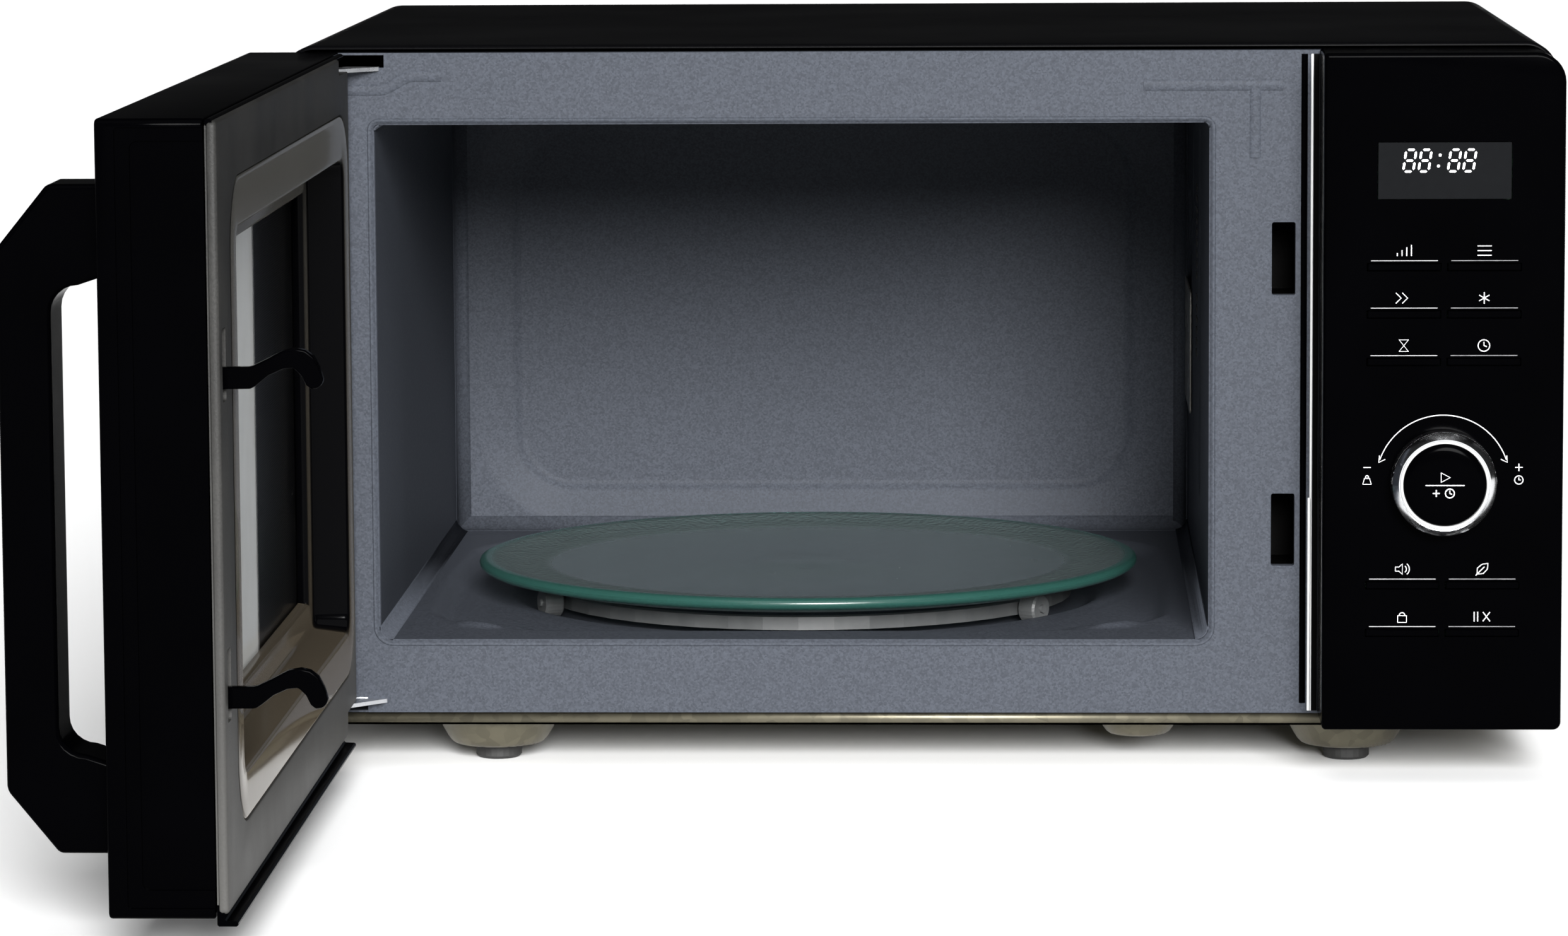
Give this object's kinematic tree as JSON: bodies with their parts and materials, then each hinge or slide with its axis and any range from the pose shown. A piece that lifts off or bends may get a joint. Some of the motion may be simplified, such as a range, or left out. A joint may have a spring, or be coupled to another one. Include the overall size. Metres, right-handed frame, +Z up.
{
  "type": "microwave oven",
  "caption": "Counter-top microwave oven with a side-hinged door, hooked latch, roller turntable, key bars, dial and inner works.",
  "frame": {"origin": "bottom centre of the box of the whole oven with its door open, on the surface that the feet stand on", "axes": "+X to the right of someone facing the oven, +Y to the rear, +Z up"},
  "size_m": [0.5368, 0.7468, 0.2815],
  "materials": {
    "aluminium": "bare",
    "board_green": "green circuit board",
    "case_black": "gloss black paint",
    "cavity_grey": "grey-blue metallic enamel with a fine speckle",
    "chrome": "polished",
    "clear_glass": "clear, greenish edge",
    "copper_coil": "enamelled wire, taped",
    "dark_glass": "black backed",
    "display": "dark grey filter",
    "foot_rubber": "black",
    "galvanised": "zinc-coated, warm grey",
    "gloss_black": "gloss black",
    "laminations": "varnished steel laminations",
    "mica": "mica sheet",
    "pale_plastic": "pale grey",
    "spring_steel": "bright",
    "textured_black": "fine texture",
    "white_plastic": "off-white",
    "zinc": "bright zinc"
  },
  "bodies": {
    "cabinet": {"base_plate": "galvanised", "capacitor": "aluminium", "cavity_lamp": "white_plastic", "cavity_liner": "cavity_grey", "control_board": "board_green", "control_housing": "gloss_black", "cord_gland": "textured_black", "display_window": "display", "encoder": "galvanised", "fan_motor": "laminations", "fan_shroud": "white_plastic", "filter_board": "board_green", "foot_front_left": "foot_rubber", "foot_front_right": "foot_rubber", "foot_rear_left": "foot_rubber", "foot_rear_right": "foot_rubber", "front_plate": "cavity_grey", "hinge_lower": "zinc", "hinge_upper": "zinc", "hv_diode": "textured_black", "latch_bracket": "textured_black", "magnetron": "aluminium", "mica_cover": "mica", "monitor_switch": "textured_black", "outer_case": "case_black", "primary_switch": "textured_black", "primary_winding": "copper_coil", "rear_panel": "case_black", "secondary_switch": "textured_black", "secondary_winding": "copper_coil", "transformer_core": "laminations", "turntable_motor": "zinc", "waveguide": "galvanised"},
    "door": {"door_frame": "gloss_black", "door_glass": "dark_glass", "door_inner_panel": "gloss_black", "window_film": "clear_glass", "choke_cover": "textured_black", "handle": "gloss_black", "latch_spring": "spring_steel"},
    "latch": {"latch_hooks": "textured_black"},
    "turntable_drive": {"turntable_coupler": "pale_plastic"},
    "tray": {"glass_tray": "clear_glass"},
    "roller_ring": {"roller_ring": "pale_plastic"},
    "roller_1": {"roller_wheel_1": "pale_plastic"},
    "roller_2": {"roller_wheel_2": "pale_plastic"},
    "roller_3": {"roller_wheel_3": "pale_plastic"},
    "fan": {"fan_blade": "white_plastic"},
    "knob": {"knob_ring": "chrome"},
    "start": {"start_button": "gloss_black"},
    "key_1": {"button_1": "gloss_black"},
    "key_2": {"button_2": "gloss_black"},
    "key_3": {"button_3": "gloss_black"},
    "key_4": {"button_4": "gloss_black"},
    "key_5": {"button_5": "gloss_black"},
    "key_6": {"button_6": "gloss_black"},
    "key_7": {"button_7": "gloss_black"},
    "key_8": {"button_8": "gloss_black"},
    "key_9": {"button_9": "gloss_black"},
    "key_10": {"button_10": "gloss_black"}
  },
  "joints": [
    {"name": "door_hinge", "type": "hinge", "parent": "cabinet", "child": "door", "pos_m": [-0.20655, 0.0096, 0], "axis": [0, 0, 1], "range_deg": [-7, 90]},
    {"name": "latch_slide", "type": "slide", "parent": "door", "child": "latch", "axis": [0, 0, 1], "range_m": [0, 0.005], "stiffness_N_per_m": 300, "springref_m": -0.004, "deforming": ["latch_spring"]},
    {"name": "coupler_spin", "type": "hinge", "parent": "cabinet", "child": "turntable_drive", "pos_m": [-0.0245, 0.18685, 0], "axis": [0, 0, 1], "continuous": true},
    {"name": "tray_lift", "type": "slide", "parent": "turntable_drive", "child": "tray", "axis": [0, 0, 1], "range_m": [0, 0.05]},
    {"name": "ring_spin", "type": "hinge", "parent": "cabinet", "child": "roller_ring", "pos_m": [-0.0245, 0.18685, 0], "axis": [0, 0, 1], "continuous": true},
    {"name": "roller_1_spin", "type": "hinge", "parent": "roller_ring", "child": "roller_1", "pos_m": [0.0686, 0.12166, 0.0493], "axis": [0.8192, -0.5736, 0], "continuous": true},
    {"name": "roller_2_spin", "type": "hinge", "parent": "roller_ring", "child": "roller_2", "pos_m": [-0.0146, 0.30007, 0.0493], "axis": [0.0872, 0.9962, 0], "continuous": true},
    {"name": "roller_3_spin", "type": "hinge", "parent": "roller_ring", "child": "roller_3", "pos_m": [-0.1275, 0.13882, 0.0493], "axis": [-0.9063, -0.4226, 0], "continuous": true},
    {"name": "fan_spin", "type": "hinge", "parent": "cabinet", "child": "fan", "pos_m": [0.21045, 0.3586, 0.1371], "axis": [0, 1, 0], "continuous": true},
    {"name": "knob_spin", "type": "hinge", "parent": "cabinet", "child": "knob", "pos_m": [0.2232, -0.0164, 0.1177], "axis": [0, 1, 0], "continuous": true},
    {"name": "start_press", "type": "slide", "parent": "cabinet", "child": "start", "axis": [0, 1, 0], "range_m": [0, 0.0012], "stiffness_N_per_m": 400},
    {"name": "key_1_press", "type": "slide", "parent": "cabinet", "child": "key_1", "axis": [0, 1, 0], "range_m": [0, 0.001], "stiffness_N_per_m": 300},
    {"name": "key_2_press", "type": "slide", "parent": "cabinet", "child": "key_2", "axis": [0, 1, 0], "range_m": [0, 0.001], "stiffness_N_per_m": 300},
    {"name": "key_3_press", "type": "slide", "parent": "cabinet", "child": "key_3", "axis": [0, 1, 0], "range_m": [0, 0.001], "stiffness_N_per_m": 300},
    {"name": "key_4_press", "type": "slide", "parent": "cabinet", "child": "key_4", "axis": [0, 1, 0], "range_m": [0, 0.001], "stiffness_N_per_m": 300},
    {"name": "key_5_press", "type": "slide", "parent": "cabinet", "child": "key_5", "axis": [0, 1, 0], "range_m": [0, 0.001], "stiffness_N_per_m": 300},
    {"name": "key_6_press", "type": "slide", "parent": "cabinet", "child": "key_6", "axis": [0, 1, 0], "range_m": [0, 0.001], "stiffness_N_per_m": 300},
    {"name": "key_7_press", "type": "slide", "parent": "cabinet", "child": "key_7", "axis": [0, 1, 0], "range_m": [0, 0.001], "stiffness_N_per_m": 300},
    {"name": "key_8_press", "type": "slide", "parent": "cabinet", "child": "key_8", "axis": [0, 1, 0], "range_m": [0, 0.001], "stiffness_N_per_m": 300},
    {"name": "key_9_press", "type": "slide", "parent": "cabinet", "child": "key_9", "axis": [0, 1, 0], "range_m": [0, 0.001], "stiffness_N_per_m": 300},
    {"name": "key_10_press", "type": "slide", "parent": "cabinet", "child": "key_10", "axis": [0, 1, 0], "range_m": [0, 0.001], "stiffness_N_per_m": 300}
  ],
  "couplings": [
    {"joint": "ring_spin", "follows": "coupler_spin", "ratio": 0.5},
    {"joint": "roller_1_spin", "follows": "coupler_spin", "ratio": -9.4708},
    {"joint": "roller_2_spin", "follows": "coupler_spin", "ratio": -9.4708},
    {"joint": "roller_3_spin", "follows": "coupler_spin", "ratio": -9.4708}
  ]
}
